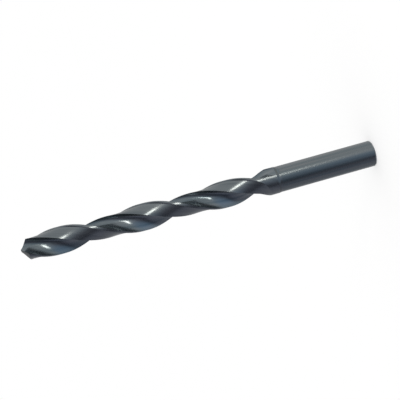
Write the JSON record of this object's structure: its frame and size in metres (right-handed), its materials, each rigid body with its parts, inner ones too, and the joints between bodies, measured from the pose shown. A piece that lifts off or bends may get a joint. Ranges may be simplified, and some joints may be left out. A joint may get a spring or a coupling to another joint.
{
  "type": "twist drill bit",
  "caption": "Straight-shank jobber-length twist drill: helical flutes with raised margins run out into a plain round shank, and the conical point cuts round holes.",
  "frame": {"origin": "centre of the shank's end face, on which the drill stands", "axes": "+Z along the drill's axis from the shank to the point; at the tip the lips run along X"},
  "size_m": [0.0096, 0.0096, 0.1282],
  "materials": {
    "black_oxide_steel": "black oxide over ground high-speed steel, semi-gloss"
  },
  "bodies": {
    "root": {"twist_drill": "black_oxide_steel"}
  },
  "joints": []
}
